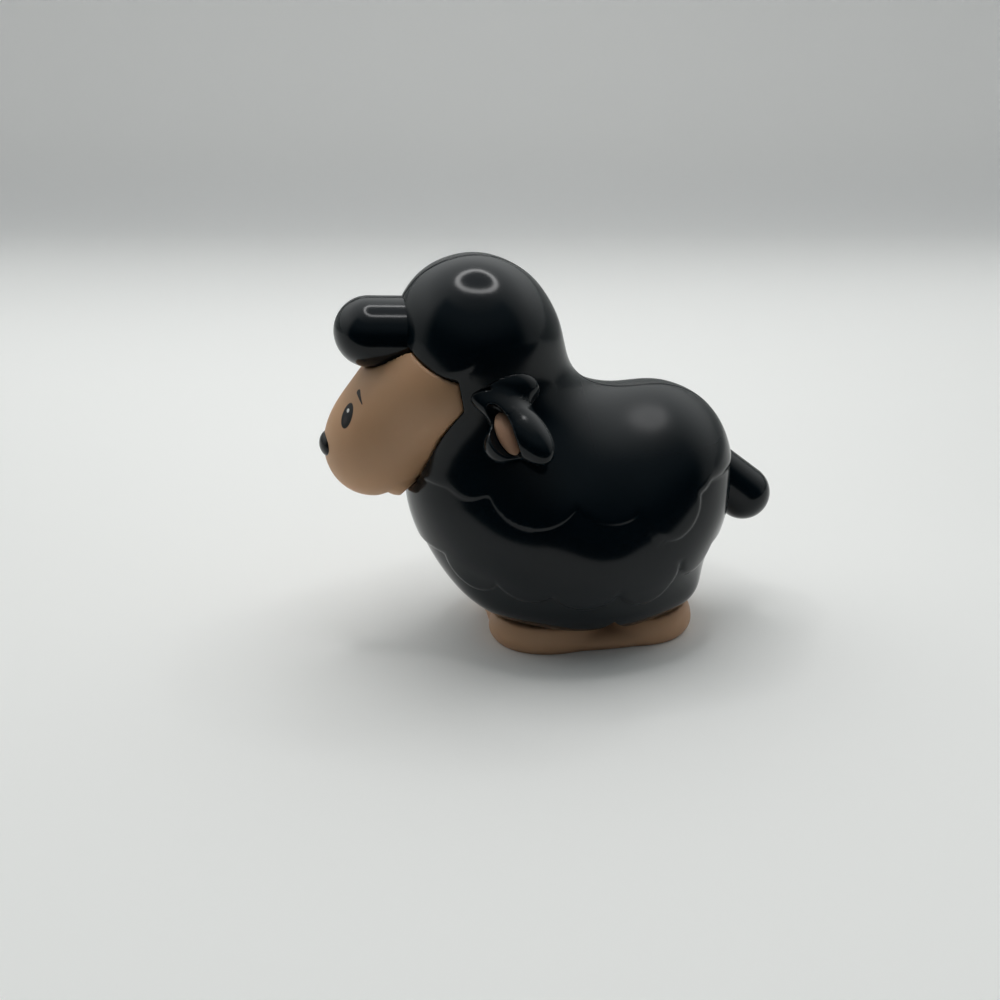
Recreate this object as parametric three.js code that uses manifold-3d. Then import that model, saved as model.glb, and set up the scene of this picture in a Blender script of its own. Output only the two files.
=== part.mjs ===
// A chunky toy sheep: two glossy wool half shells, closed on a tan face, a foot block and two ears.
// The nose points along -X, the sheep's left side along -Y, and the soles lie on z = 0. Millimetres.
import * as THREE from 'three';
import { mergeVertices } from 'three/addons/utils/BufferGeometryUtils.js';
import Module from 'manifold-3d';

const wasm = await Module();
wasm.setup();

// Walls, fits and the overrun that every cutter shares
const shellWall = 2.0;
const faceWall = 2.0;
const fit = 0.3;
const overrun = 4.0;

// The wool body: belly, chest, rump, neck and head as round forms, station along X, height and half sizes
const bellyStation = 5.5;
const bellyHeight = 17.4;
const bellyHalfLength = 21.0;
const bellyHalfWidth = 20.5;
const bellyHalfHeight = 18.1;
const chestStation = -0.9;
const chestHeight = 22.6;
const chestHalfLength = 9.7;
const chestHalfWidth = 15.0;
const chestHalfHeight = 12.8;
const rumpStation = 18.3;
const rumpHeight = 28.7;
const rumpHalfLength = 8.6;
const rumpHalfWidth = 12.1;
const rumpHalfHeight = 9.5;
const neckStation = -12.0;
const neckHeight = 26.3;
const neckRadius = 8.4;
const headStation = -12.3;
const headHeight = 48.8;
const headHalfLength = 10.1;
const headHalfWidth = 11.7;
const headHalfHeight = 10.7;
const bodyBlend = 13.3;
const neckBlend = 20.0;
const headBlend = 10.8;

// The rolled skirt of wool above the feet: a soft puck, squarer in plan than the belly
const skirtStation = 6.4;
const skirtHeight = 7.9;
const skirtHalfLength = 17.1;
const skirtHalfWidth = 15.2;
const skirtHalfHeight = 5.5;
const skirtBlend = 3.0;
const skirtSquareness = 3;

// The skirt's scalloped lower edge: lowest line, rise at the ends, and notch over the feet's crease
const skirtEdgeHeight = 4.8;
const skirtEndRise = 2.6;
const skirtNotchRise = 2.4;
const skirtNotchHalfWidth = 3.4;

// Wool tiers: soft raised lobes over the back, round the flanks and on the head
const tierRise = 0.45;
const tierSlope = 1.2;
const capLobeRadius = 7.2;
const capLobeHeight = 52.4;

// A tier's level over the belly's middle, in shares of its half height, and its lobes from front to rear:
// their places along, out and up from there in shares of the half sizes, and radius in the half width
const capeLevelShare = 0.78;
const capeLobeShares = [
  [-0.98, 0.62, 0.83, 0.24],
  [-0.59, 0.83, 0.73, 0.34],
  [0.02, 0.82, 0.75, 0.32],
  [0.47, 0.85, 0.48, 0.25],
  [0.64, 0.7, 0.76, 0.21],
];
const flankLevelShare = -0.04;
const flankLobeShares = [
  [-1, 0.65, -0.05, 0.26],
  [-0.64, 0.92, -0.02, 0.29],
  [-0.19, 1.02, -0.04, 0.31],
  [0.31, 0.95, -0.08, 0.28],
  [0.74, 0.72, 0.03, 0.23],
];

// The tuft over the forehead and the tail
const tuftStation = -26.8;
const tuftHeight = 50.3;
const tuftHalfLength = 6.6;
const tuftHalfWidth = 6.5;
const tuftHalfHeight = 5.3;
const tailRootStation = 27.0;
const tailRootHeight = 24.6;
const tailRootRadius = 4.1;
const tailTipStation = 31.8;
const tailTipHeight = 20.4;
const tailTipRadius = 4.4;

// The face: skull, cheeks, muzzle and chin
const skullStation = -17.3;
const skullHeight = 43.8;
const skullHalfLength = 9.0;
const skullHalfWidth = 11.9;
const skullHalfHeight = 9.0;
const muzzleStation = -28.2;
const muzzleHeight = 31.9;
const muzzleHalfLength = 7.1;
const muzzleHalfWidth = 6.4;
const muzzleHalfHeight = 7.5;
const chinStation = -23.4;
const chinHeight = 28.6;
const chinRadius = 4.4;
const faceBlend = 16.0;
const lipBlend = 0.8;

// The face opening: how far it wraps back, out and up, and the hub that its cut walls point to
const openingRearStation = -15.5;
const openingDepth = 7.6;
const openingHalfWidth = 12.4;
const openingLowHeight = 24.7;
const openingHeight = 25.5;
const openingHubStation = -8.0;

// Its rim on one side, in shares of that depth, half width and height: tuft, wool lobe, cheek and jaw
const rimTopShares = [0.96, 0, 1];
const rimTuftShares = [0.93, 0.56, 0.965];
const rimLobeShares = [0.57, 0.9, 0.84];
const rimCheekTopShares = [0.12, 1, 0.835];
const rimCheekLowShares = [0, 0.96, 0.647];
const rimJawShares = [[0.41, 0.71, 0.435], [0.68, 0.54, 0.247], [0.91, 0.33, 0.082]];
const rimChinShares = [1, 0, 0];
const rimSteps = 9;
const openingReachShare = 2.2;

// The nose and its peg
const noseStation = -34.3;
const noseHeight = 32.9;
const noseHalfLength = 1.9;
const noseHalfWidth = 3.0;
const noseHalfHeight = 2.1;
const nosePegRadius = 1.1;

// The ears: a drooping leaf with a broad back, a pad on the head, and a bowl that a slanting cup hollows
const earStation = -7.7;
const earSide = 15.0;
const earHeight = 39.0;
const leafHalfLength = 7.0;
const leafHalfWidth = 3.1;
const leafHalfThickness = 3.0;
const earBackRise = 0.7;
const earBackHalfLength = 5.9;
const earBackHalfWidth = 2.8;
const earBackHalfThickness = 2.3;
const earPadForward = 1.4;
const earPadInward = 3.4;
const earPadRise = 5.4;
const earPadHalfLength = 5.0;
const earPadHalfHeight = 3.1;
const earPadHalfThickness = 2.5;
const earBowlForward = 2.4;
const earBowlOutward = 0.8;
const earBowlDrop = 1.8;
const earBowlRadius = 3.1;
const earBlend = 1.6;
const earCupForward = 3.1;
const earCupOutward = 2.2;
const earCupRise = 0.8;
const earCupHalfLength = 5.2;
const earCupHalfWidth = 1.7;
const earCupHalfThickness = 2.9;
const earLining = 0.9;
const earPegRadius = 1.5;

// Where the ear's forms point, in shares backward, outward and upward: down their length, and out of the face
const leafLengthShares = [0.51, 0.74, -0.44];
const leafFaceShares = [0, 0.51, 0.86];
const earBackLengthShares = [0.54, 0.66, -0.52];
const earBackFaceShares = [0.52, 0.23, 0.83];
const earPadLengthShares = [1, 0, -0.18];
const earPadFaceShares = [0, 1, 0];
const earCupLengthShares = [0.33, 0.5, -0.8];
const earCupFaceShares = [-0.8, 0.6, 0.05];

// The foot block: four round feet on one sole, flat underneath, with a neck held inside the skirt
const frontFootStation = -1.7;
const frontFootHalfLength = 8.9;
const rearFootStation = 14.5;
const rearFootHalfLength = 7.7;
const footHeight = 2.7;
const footHalfWidth = 7.4;
const footHalfHeight = 5.2;
const frontFootSide = 5.7;
const rearFootSide = 4.9;
const soleStation = 6.0;
const soleHeight = 1.1;
const soleHalfLength = 16.2;
const soleHalfWidth = 12.7;
const soleHalfHeight = 3.6;
const soleSquareness = 2.6;
const footBlend = 1.2;
const footNeckTop = 8.4;

// Bosses and pins that line the two half shells up across the seam
const bossRadius = 2.4;
const pinRadius = 1.3;
const pinLength = 3.0;
const bossPlaces = [
  { station: rumpStation, height: rumpHeight },
  { station: chestStation, height: chestHeight },
  { station: headStation, height: headHeight + headHalfHeight / 2 },
];

// Facets round and along each skin
const shellFacets = [52, 38];
const hollowFacets = [26, 18];
const faceFacets = [30, 18];
const faceHollowFacets = [14, 8];
const smallFacets = [20, 12];
const earFacets = [20, 14];
const earCupFacets = [14, 10];
const footFacets = [40, 12];
const pegFacets = 12;
const edgeFacets = 12;

const place = (x, y, z) => new THREE.Vector3(x, y, z);

// Fields: below zero inside a form, about the distance to its surface elsewhere
function oval(centre, halves) {
  return (point) => {
    const near = point.clone().sub(centre).divide(halves);
    const reach = near.length();
    const slope = near.divide(halves).length();
    return slope > 0 ? reach * (reach - 1) / slope : -Math.min(halves.x, halves.y, halves.z);
  };
}

function roundCone(from, to, radiusFrom, radiusTo) {
  const run = to.clone().sub(from);
  return (point) => {
    const share = THREE.MathUtils.clamp(point.clone().sub(from).dot(run) / run.lengthSq(), 0, 1);
    const radius = THREE.MathUtils.lerp(radiusFrom, radiusTo, share);
    return point.distanceTo(from.clone().addScaledVector(run, share)) - radius;
  };
}

// A puck whose plan is squarer than an ellipse and whose rim is round
function softPuck(centre, halves, squareness) {
  return (point) => {
    const near = point.clone().sub(centre).divide(halves);
    const plan = (Math.abs(near.x) ** squareness + Math.abs(near.y) ** squareness) ** (1 / squareness);
    return (Math.hypot(plan, near.z) - 1) * halves.z;
  };
}

function blend(first, second, reach) {
  return (point) => {
    const a = first(point);
    const b = second(point);
    const closeness = Math.max(reach - Math.abs(a - b), 0) / reach;
    return Math.min(a, b) - closeness * closeness * reach / 4;
  };
}

const grown = (field, by) => (point) => field(point) - by;

// Pulls a sphere out from a spine until each of its points lies on the field's surface
function skin(field, spine, [around, along]) {
  const steps = 60;
  const caution = 0.8;
  const geometry = new THREE.SphereGeometry(1, around, along);
  const position = geometry.attributes.position;
  const across = place(0, 1, 0);
  for (let i = 0; i < position.count; i += 1) {
    const ball = new THREE.Vector3().fromBufferAttribute(position, i);
    const share = Math.acos(THREE.MathUtils.clamp(ball.y, -1, 1)) / Math.PI;
    const start = spine.getPoint(share);
    const forward = spine.getTangent(share);
    const upward = across.clone().cross(forward).normalize();
    const out = forward.multiplyScalar(-ball.y).addScaledVector(upward, ball.x);
    out.addScaledVector(across, ball.z).normalize();
    let reach = 0;
    for (let step = 0; step < steps; step += 1) {
      reach -= caution * field(start.clone().addScaledVector(out, reach));
    }
    position.setXYZ(i, ...start.addScaledVector(out, reach).toArray());
  }
  return toSolid(geometry);
}

function toSolid(geometry) {
  geometry.deleteAttribute('normal');
  geometry.deleteAttribute('uv');
  const merged = mergeVertices(geometry);
  return new wasm.Manifold(new wasm.Mesh({
    numProp: 3,
    vertProperties: new Float32Array(merged.attributes.position.array),
    triVerts: new Uint32Array(merged.index.array),
  }));
}

function toGeometry(solid) {
  const mesh = solid.getMesh();
  const geometry = new THREE.BufferGeometry();
  geometry.setAttribute('position', new THREE.BufferAttribute(mesh.vertProperties, 3));
  geometry.setIndex(new THREE.BufferAttribute(mesh.triVerts, 1));
  return geometry;
}

// A side-view outline drawn through the whole width of the sheep
function throughPrism(shape, halfWidth) {
  const geometry = new THREE.ExtrudeGeometry(shape, {
    depth: 2 * halfWidth, bevelEnabled: false, curveSegments: edgeFacets,
  });
  return toSolid(geometry.translate(0, 0, -halfWidth).rotateX(Math.PI / 2));
}

function block(low, high) {
  const size = high.clone().sub(low);
  const middle = high.clone().add(low).divideScalar(2);
  return toSolid(new THREE.BoxGeometry(...size.toArray()).translate(...middle.toArray()));
}

// A round rod between two points
function rod(from, to, radius) {
  const run = to.clone().sub(from);
  const geometry = new THREE.CylinderGeometry(radius, radius, run.length(), pegFacets);
  const middle = from.clone().addScaledVector(run, 1 / 2);
  const turn = new THREE.Quaternion().setFromUnitVectors(place(0, 1, 0), run.normalize());
  geometry.applyQuaternion(turn);
  return toSolid(geometry.translate(...middle.toArray()));
}

// Main places on the sheep's middle plane
const bellyCentre = place(bellyStation, 0, bellyHeight);
const bellyHalves = place(bellyHalfLength, bellyHalfWidth, bellyHalfHeight);
const headCentre = place(headStation, 0, headHeight);
const rumpCentre = place(rumpStation, 0, rumpHeight);
const neckRoot = place(neckStation, 0, neckHeight);
const bodySpine = new THREE.QuadraticBezierCurve3(rumpCentre, neckRoot, headCentre);
const sideReach = bellyHalfWidth + overrun;
const footMidStation = (frontFootStation + frontFootHalfLength + rearFootStation - rearFootHalfLength) / 2;

// Lobes of wool on both sides, whose lower edges make a scalloped tier
function lobesOnBelly(lobeShares) {
  return lobeShares.flatMap(([along, out, up, size]) => [-1, 1].map((side) => ({
    centre: place(along, side * out, up).multiply(bellyHalves).add(bellyCentre),
    radius: size * bellyHalfWidth,
  })));
}

const capLobes = [-1, 1].map((side) => ({
  centre: place(headStation - headHalfLength / 2, side * headHalfWidth * 3 / 4, capLobeHeight),
  radius: capLobeRadius,
}));
const capeTier = lobesOnBelly(capeLobeShares);
const flankTier = lobesOnBelly(flankLobeShares);
const capeHeight = bellyHeight + capeLevelShare * bellyHalfHeight;
const flankTierHeight = bellyHeight + flankLevelShare * bellyHalfHeight;

function lobesRise(point, lobes, levelHeight) {
  const toLobes = Math.min(...lobes.map((lobe) => point.distanceTo(lobe.centre) - lobe.radius));
  const depth = Math.min(toLobes, levelHeight - point.z);
  return tierRise * (1 - THREE.MathUtils.smoothstep(depth, -tierSlope, tierSlope));
}

function woolField() {
  const belly = oval(bellyCentre, bellyHalves);
  const chest = oval(
    place(chestStation, 0, chestHeight),
    place(chestHalfLength, chestHalfWidth, chestHalfHeight),
  );
  const rump = oval(rumpCentre, place(rumpHalfLength, rumpHalfWidth, rumpHalfHeight));
  const neck = roundCone(neckRoot, headCentre, neckRadius, neckRadius);
  const head = oval(headCentre, place(headHalfLength, headHalfWidth, headHalfHeight));
  const skirt = softPuck(
    place(skirtStation, 0, skirtHeight),
    place(skirtHalfLength, skirtHalfWidth, skirtHalfHeight),
    skirtSquareness,
  );
  const body = blend(blend(blend(belly, chest, bodyBlend), rump, bodyBlend), skirt, skirtBlend);
  return blend(blend(body, neck, neckBlend), head, headBlend);
}

const plainWool = woolField();

// The upper tier covers the back, the flank tier the belly above the skirt, and the cap tier the dome
function tieredWool(point) {
  const cape = lobesRise(point, capeTier, capeHeight);
  const flank = lobesRise(point, flankTier, flankTierHeight);
  const cap = lobesRise(point, capLobes, capLobeHeight);
  return plainWool(point) + 2 * tierRise - cape - flank - cap;
}

// The shell's two skins, and the same two moved apart by the fit for what the wall is gripped by
const hollowDepth = shellWall + 2 * tierRise;
const woolOuter = skin(tieredWool, bodySpine, shellFacets);
const woolHollow = skin(grown(plainWool, -hollowDepth), bodySpine, hollowFacets);
const woolOuterGrown = skin(grown(tieredWool, fit), bodySpine, shellFacets);
const woolHollowShrunk = skin(grown(plainWool, -hollowDepth - fit), bodySpine, hollowFacets);

// One side of the rim, or the other, as curves from the top of the forehead to the chin
function rimSide(side) {
  const onRim = ([depth, width, height]) => place(
    openingRearStation - depth * openingDepth,
    side * width * openingHalfWidth,
    openingLowHeight + height * openingHeight,
  );
  const jaw = [rimCheekLowShares, ...rimJawShares, rimChinShares].map(onRim);
  return [
    new THREE.LineCurve3(onRim(rimTopShares), onRim(rimTuftShares)),
    new THREE.QuadraticBezierCurve3(onRim(rimTuftShares), onRim(rimLobeShares), onRim(rimCheekTopShares)),
    new THREE.LineCurve3(onRim(rimCheekTopShares), onRim(rimCheekLowShares)),
    new THREE.CatmullRomCurve3(jaw, false, 'centripetal'),
  ].flatMap((curve) => curve.getSpacedPoints(rimSteps).slice(0, -1));
}

// A cone from a hub in the head through the rim, drawn in at the rim by an allowance
function faceOpening(allowance) {
  const chin = place(openingRearStation - openingDepth, 0, openingLowHeight);
  const top = rimSide(1)[0];
  const rim = [...rimSide(1), chin, ...rimSide(-1).slice(1).reverse()];
  const hub = place(openingHubStation, 0, openingLowHeight + openingHeight / 2);
  const middle = top.clone().add(chin).divideScalar(2);
  const points = rim.map((point) => {
    const drawn = point.clone().addScaledVector(middle.clone().sub(point).normalize(), allowance);
    return hub.clone().addScaledVector(drawn.sub(hub), openingReachShare);
  });
  const last = points.length;
  points.push(hub, hub.clone().addScaledVector(middle.clone().sub(hub), openingReachShare));
  const faces = rim.flatMap((_, i) => {
    const next = (i + 1) % rim.length;
    return [last, next, i, last + 1, i, next];
  });
  const geometry = new THREE.BufferGeometry().setFromPoints(points).setIndex(faces);
  return toSolid(geometry);
}

// Everything under the scalloped skirt edge, lowered by an allowance
function belowSkirt(allowance) {
  const low = skirtEdgeHeight - allowance;
  const front = bellyStation - bellyHalfLength;
  const rear = bellyStation + bellyHalfLength;
  const notchFront = footMidStation - skirtNotchHalfWidth;
  const notchRear = footMidStation + skirtNotchHalfWidth;
  const frontFlat = (front + notchFront) / 2;
  const rearFlat = (rear + notchRear) / 2;
  const shape = new THREE.Shape();
  shape.moveTo(front - overrun, -overrun);
  shape.lineTo(rear + overrun, -overrun);
  shape.lineTo(rear + overrun, low + skirtEndRise);
  shape.lineTo(rear, low + skirtEndRise);
  shape.quadraticCurveTo(rearFlat + skirtNotchHalfWidth, low, rearFlat, low);
  shape.quadraticCurveTo(notchRear, low, footMidStation, low + skirtNotchRise);
  shape.quadraticCurveTo(notchFront, low, frontFlat, low);
  shape.quadraticCurveTo(frontFlat - skirtNotchHalfWidth, low, front, low + skirtEndRise);
  shape.lineTo(front - overrun, low + skirtEndRise);
  shape.closePath();
  return throughPrism(shape, sideReach);
}

// The tuft over the forehead, whose spine lies along its length
function tuft(allowance) {
  const centre = place(tuftStation, 0, tuftHeight);
  const spine = new THREE.LineCurve3(
    centre.clone().setX(tuftStation + tuftHalfLength / 4),
    centre.clone().setX(tuftStation - tuftHalfLength / 4),
  );
  const form = oval(centre, place(tuftHalfLength, tuftHalfWidth, tuftHalfHeight));
  return skin(grown(form, allowance), spine, smallFacets);
}

function tail() {
  const root = place(tailRootStation, 0, tailRootHeight);
  const tip = place(tailTipStation, 0, tailTipHeight);
  const form = roundCone(root, tip, tailRootRadius, tailTipRadius);
  return skin(form, new THREE.LineCurve3(root, tip), smallFacets);
}

// The middle of the pad that an ear grows from
const earPad = (side) => place(
  earStation - earPadForward,
  side * (earSide - earPadInward),
  earHeight + earPadRise,
);

// The peg that holds an ear, from inside its pad to just inside the head's wall
function earPeg(side, allowance) {
  const outer = earPad(side).add(place(0, side * earPadHalfThickness * 3 / 4, 0));
  const inner = earPad(side).setY(side * (headHalfWidth - hollowDepth));
  return rod(outer, inner, earPegRadius + allowance);
}

// One closed wool shell with its tuft, tail, face opening, skirt edge and ear holes, before it is parted
function woolShell() {
  let shell = woolOuter.subtract(faceOpening(0)).add(tuft(0)).add(tail());
  shell = shell.subtract(woolHollow).subtract(belowSkirt(0));
  [-1, 1].forEach((side) => {
    shell = shell.subtract(earPeg(side, fit));
  });
  return shell;
}

// A rod from the seam to the wall, cut to stay inside the wool
function seamBoss({ station, height }, side, radius) {
  const boss = rod(place(station, 0, height), place(station, side * sideReach, height), radius);
  return boss.intersect(woolOuter);
}

function seamPin({ station, height }, side, radius, allowance) {
  const start = place(station, -side * pinLength, height);
  const end = place(station, side * (pinLength + allowance), height);
  return rod(start, end, radius);
}

// The half shell on one side: the left one carries the pins and the right one their sockets
function halfShell(shell, side, carriesPins) {
  let whole = shell;
  bossPlaces.forEach((boss) => {
    whole = whole.add(seamBoss(boss, side, bossRadius));
  });
  const inner = place(-2 * bellyHalfLength, side * fit / 2, -overrun);
  const outer = place(2 * bellyHalfLength, side * sideReach, headHeight + headHalfHeight + overrun);
  const low = inner.clone().min(outer);
  const high = inner.clone().max(outer);
  let half = whole.intersect(block(low, high));
  bossPlaces.forEach((boss) => {
    half = carriesPins
      ? half.add(seamPin(boss, -side, pinRadius, 0))
      : half.subtract(seamPin(boss, side, pinRadius + fit, fit));
  });
  return half;
}

function faceForm() {
  const skull = oval(
    place(skullStation, 0, skullHeight),
    place(skullHalfLength, skullHalfWidth, skullHalfHeight),
  );
  const muzzle = oval(
    place(muzzleStation, 0, muzzleHeight),
    place(muzzleHalfLength, muzzleHalfWidth, muzzleHalfHeight),
  );
  const chin = oval(place(chinStation, 0, chinHeight), place(chinRadius, chinRadius, chinRadius));
  return blend(blend(skull, muzzle, faceBlend), chin, lipBlend);
}

const faceSpine = new THREE.LineCurve3(
  place(skullStation, 0, skullHeight),
  place(muzzleStation, 0, muzzleHeight),
);

function nosePeg(allowance) {
  const tip = place(noseStation - noseHalfLength * 4 / 5, 0, noseHeight);
  const end = place(muzzleStation - muzzleHalfLength + 2 * faceWall, 0, noseHeight);
  return rod(tip, end, nosePegRadius + allowance);
}

// A hollow cup, open inside the head, with a groove where the rim of the opening grips it
function face() {
  const grip = woolOuterGrown.subtract(woolHollowShrunk).subtract(faceOpening(fit));
  const cup = skin(faceForm(), faceSpine, faceFacets);
  const skullHalves = place(skullHalfLength, skullHalfWidth, skullHalfHeight);
  const hollow = skin(
    oval(faceSpine.v1, skullHalves.addScalar(-hollowDepth - fit - faceWall / 2)),
    new THREE.LineCurve3(faceSpine.v1, faceSpine.v1.clone().setX(skullStation - faceWall)),
    faceHollowFacets,
  );
  const open = place(skullStation + skullHalfLength / 2, -sideReach, 0);
  const behind = place(rumpStation, sideReach, headHeight + headHalfHeight);
  const shallow = cup.subtract(hollow).subtract(block(open, behind));
  return shallow.subtract(grip).subtract(tuft(fit)).subtract(nosePeg(fit));
}

// A black button on the muzzle, hollowed to sit on it, with a peg into the face
function nose() {
  const button = skin(
    oval(place(noseStation, 0, noseHeight), place(noseHalfLength, noseHalfWidth, noseHalfHeight)),
    new THREE.LineCurve3(
      place(noseStation + noseHalfLength / 4, 0, noseHeight),
      place(noseStation - noseHalfLength / 4, 0, noseHeight),
    ),
    smallFacets,
  );
  return button.subtract(skin(grown(faceForm(), fit), faceSpine, faceFacets)).add(nosePeg(0));
}

// An oval that points down its length and faces out as two lists of shares say
function turnedOval(side, centre, halves, lengthShares, faceShares) {
  const [length, face] = [lengthShares, faceShares].map(([back, out, up]) => place(back, side * out, up));
  face.normalize();
  length.addScaledVector(face, -length.dot(face)).normalize();
  const turn = new THREE.Matrix4().makeBasis(length, face.clone().cross(length), face).invert();
  const form = oval(place(0, 0, 0), halves);
  return (point) => form(point.clone().sub(centre).applyMatrix4(turn));
}

const earMiddle = (side) => place(earStation, side * earSide, earHeight);

const earBowl = (side) => place(
  earStation - earBowlForward,
  side * (earSide + earBowlOutward),
  earHeight - earBowlDrop,
);

// The solid ear before its cup is cut: leaf, back and bowl as one form, joined to the pad on the head
function earSolid(side, allowance) {
  const leaf = turnedOval(
    side,
    earMiddle(side),
    place(leafHalfLength, leafHalfWidth, leafHalfThickness),
    leafLengthShares,
    leafFaceShares,
  );
  const back = turnedOval(
    side,
    earMiddle(side).add(place(0, 0, earBackRise)),
    place(earBackHalfLength, earBackHalfWidth, earBackHalfThickness),
    earBackLengthShares,
    earBackFaceShares,
  );
  const pad = turnedOval(
    side,
    earPad(side),
    place(earPadHalfLength, earPadHalfHeight, earPadHalfThickness),
    earPadLengthShares,
    earPadFaceShares,
  );
  const bowl = oval(earBowl(side), place(earBowlRadius, earBowlRadius, earBowlRadius));
  const form = blend(blend(leaf, back, earBlend), bowl, earBlend);
  const spine = new THREE.LineCurve3(earMiddle(side), earMiddle(side).lerp(earBowl(side), 1 / 2));
  const padSpine = new THREE.LineCurve3(
    earPad(side).setX(earStation - earPadForward / 2),
    earPad(side).setX(earStation - earPadForward * 3 / 2),
  );
  const drooping = skin(grown(form, allowance), spine, earFacets);
  return drooping.add(skin(grown(pad, allowance), padSpine, smallFacets));
}

// The slanting cup, or the same moved out of the ear by a lift
function earCup(side, allowance, lift) {
  const out = place(earCupFaceShares[0], side * earCupFaceShares[1], earCupFaceShares[2]).normalize();
  const centre = earMiddle(side).add(place(-earCupForward, side * earCupOutward, earCupRise));
  centre.addScaledVector(out, lift);
  const halves = place(earCupHalfLength, earCupHalfWidth, earCupHalfThickness).addScalar(allowance);
  const form = turnedOval(side, centre, halves, earCupLengthShares, earCupFaceShares);
  const along = place(earCupLengthShares[0], side * earCupLengthShares[1], earCupLengthShares[2]);
  along.multiplyScalar(earCupHalfLength / 2);
  const spine = new THREE.LineCurve3(centre.clone().sub(along), centre.clone().add(along));
  return skin(form, spine, earCupFacets);
}

function ear(side) {
  const leaf = earSolid(side, 0).subtract(earCup(side, fit, 0)).subtract(woolOuterGrown);
  return leaf.add(earPeg(side, 0).subtract(earCup(side, fit, 0)));
}

// A thin lining that lies in the cup, below its rim
function earLiningPiece(side) {
  const bowl = earCup(side, 0, 0).subtract(earCup(side, 0, earLining));
  return bowl.intersect(earSolid(side, -fit)).subtract(woolOuterGrown);
}

// Four feet on one sole, cut flat underneath, with a neck that the two skirts close on
function footBase() {
  const pair = (station, away, halfLength) => blend(
    oval(place(station, -away, footHeight), place(halfLength, footHalfWidth, footHalfHeight)),
    oval(place(station, away, footHeight), place(halfLength, footHalfWidth, footHalfHeight)),
    footBlend,
  );
  const front = pair(frontFootStation, frontFootSide, frontFootHalfLength);
  const rear = pair(rearFootStation, rearFootSide, rearFootHalfLength);
  const sole = softPuck(
    place(soleStation, 0, soleHeight),
    place(soleHalfLength, soleHalfWidth, soleHalfHeight),
    soleSquareness,
  );
  const form = blend(blend(front, sole, footBlend), rear, footBlend);
  const spine = new THREE.LineCurve3(
    place(rearFootStation, 0, soleHeight),
    place(frontFootStation, 0, soleHeight),
  );
  const feet = skin(form, spine, footFacets);
  const reach = place(2 * bellyHalfLength, sideReach, overrun);
  const neckBox = block(reach.clone().multiply(place(-1, -1, 0)), reach.clone().setZ(footNeckTop));
  const grip = woolOuterGrown.subtract(woolHollowShrunk).subtract(belowSkirt(fit));
  const below = block(reach.clone().multiplyScalar(-1).setZ(-reach.x), reach.clone().setZ(0));
  return feet.add(woolHollowShrunk.intersect(neckBox)).subtract(grip).subtract(below);
}

// Finishes: glossy black wool, satin tan, and a softer black for the nose
const woolBlack = () => new THREE.MeshStandardMaterial({ color: '#1d2123', roughness: 0.24, metalness: 0 });
const tan = () => new THREE.MeshStandardMaterial({ color: '#c69c80', roughness: 0.45, metalness: 0 });
const noseBlack = () => new THREE.MeshStandardMaterial({ color: '#26282b', roughness: 0.35, metalness: 0 });

const sheep = new THREE.Group();

function addPiece(name, solid, material) {
  const mesh = new THREE.Mesh(toGeometry(solid), material);
  mesh.name = name;
  sheep.add(mesh);
}

const shell = woolShell();
addPiece('fleece_left', halfShell(shell, -1, true), woolBlack());
addPiece('fleece_right', halfShell(shell, 1, false), woolBlack());
addPiece('face', face(), tan());
addPiece('nose', nose(), noseBlack());
addPiece('foot_base', footBase(), tan());
[['left', -1], ['right', 1]].forEach(([name, side]) => {
  addPiece(`ear_${name}`, ear(side), woolBlack());
  addPiece(`ear_lining_${name}`, earLiningPiece(side), tan());
});

export default sheep;
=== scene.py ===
# %% [markdown]
# # A toddler's toy sheep in glossy black plastic
# The real toy is two moulded half shells of black wool, glued along the middle, that close on a tan face
# and a tan foot block. Nearly all that the eye gets from such a toy is the shape of its reflections, so
# this lesson builds smooth, exact surfaces first, and then a light box round them for the plastic to
# mirror.

import bmesh
import bpy
import numpy as np
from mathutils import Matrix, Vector


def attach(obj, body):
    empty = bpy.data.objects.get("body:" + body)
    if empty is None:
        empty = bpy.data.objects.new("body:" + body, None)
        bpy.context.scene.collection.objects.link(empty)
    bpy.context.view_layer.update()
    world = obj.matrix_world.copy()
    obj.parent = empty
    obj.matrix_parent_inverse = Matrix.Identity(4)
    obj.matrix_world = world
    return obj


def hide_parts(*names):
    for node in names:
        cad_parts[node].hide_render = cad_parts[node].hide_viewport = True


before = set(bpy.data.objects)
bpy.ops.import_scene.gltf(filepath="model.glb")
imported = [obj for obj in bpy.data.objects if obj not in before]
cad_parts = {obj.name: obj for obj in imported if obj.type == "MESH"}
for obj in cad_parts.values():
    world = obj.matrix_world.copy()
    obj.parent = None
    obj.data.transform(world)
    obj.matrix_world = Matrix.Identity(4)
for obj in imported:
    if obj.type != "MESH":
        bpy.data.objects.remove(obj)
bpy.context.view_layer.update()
print("Nodes of the measured model:", sorted(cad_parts))

# %% [markdown]
# ## Forms as distance fields
# Each soft form is written as a function that tells how far a point is from its surface, below zero
# inside. Two such functions can be blended with a fillet of a chosen size, which is how a sculptor in wax
# would join the neck to the body. Everything here is in millimetres, and each piece is scaled to metres
# when it is done.

# %% Fields for round forms
mm = 0.001
off_centre = 1e-6


def at(x, y, z):
    return np.array([x, y, z], dtype=float)


def length(vectors):
    return np.linalg.norm(vectors, axis=-1)


def unit(vectors):
    return vectors / length(vectors)[..., None]


def oval(centre, halves):
    """Nearly the distance from an oval; the tiny shift gives a point at its very centre a direction too"""
    def field(points):
        near = (points - centre) / halves + off_centre
        reach = length(near)
        return reach * (reach - 1) / length(near / halves)
    return field


def turned_oval(centre, halves, along, facing):
    """An oval whose first axis points along and whose third axis points to its face"""
    third = unit(facing)
    first = unit(along - (along @ third) * third)
    axes = np.stack([first, np.cross(third, first), third])
    form = oval(at(0, 0, 0), halves)
    return lambda points: form((points - centre) @ axes.T)


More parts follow.
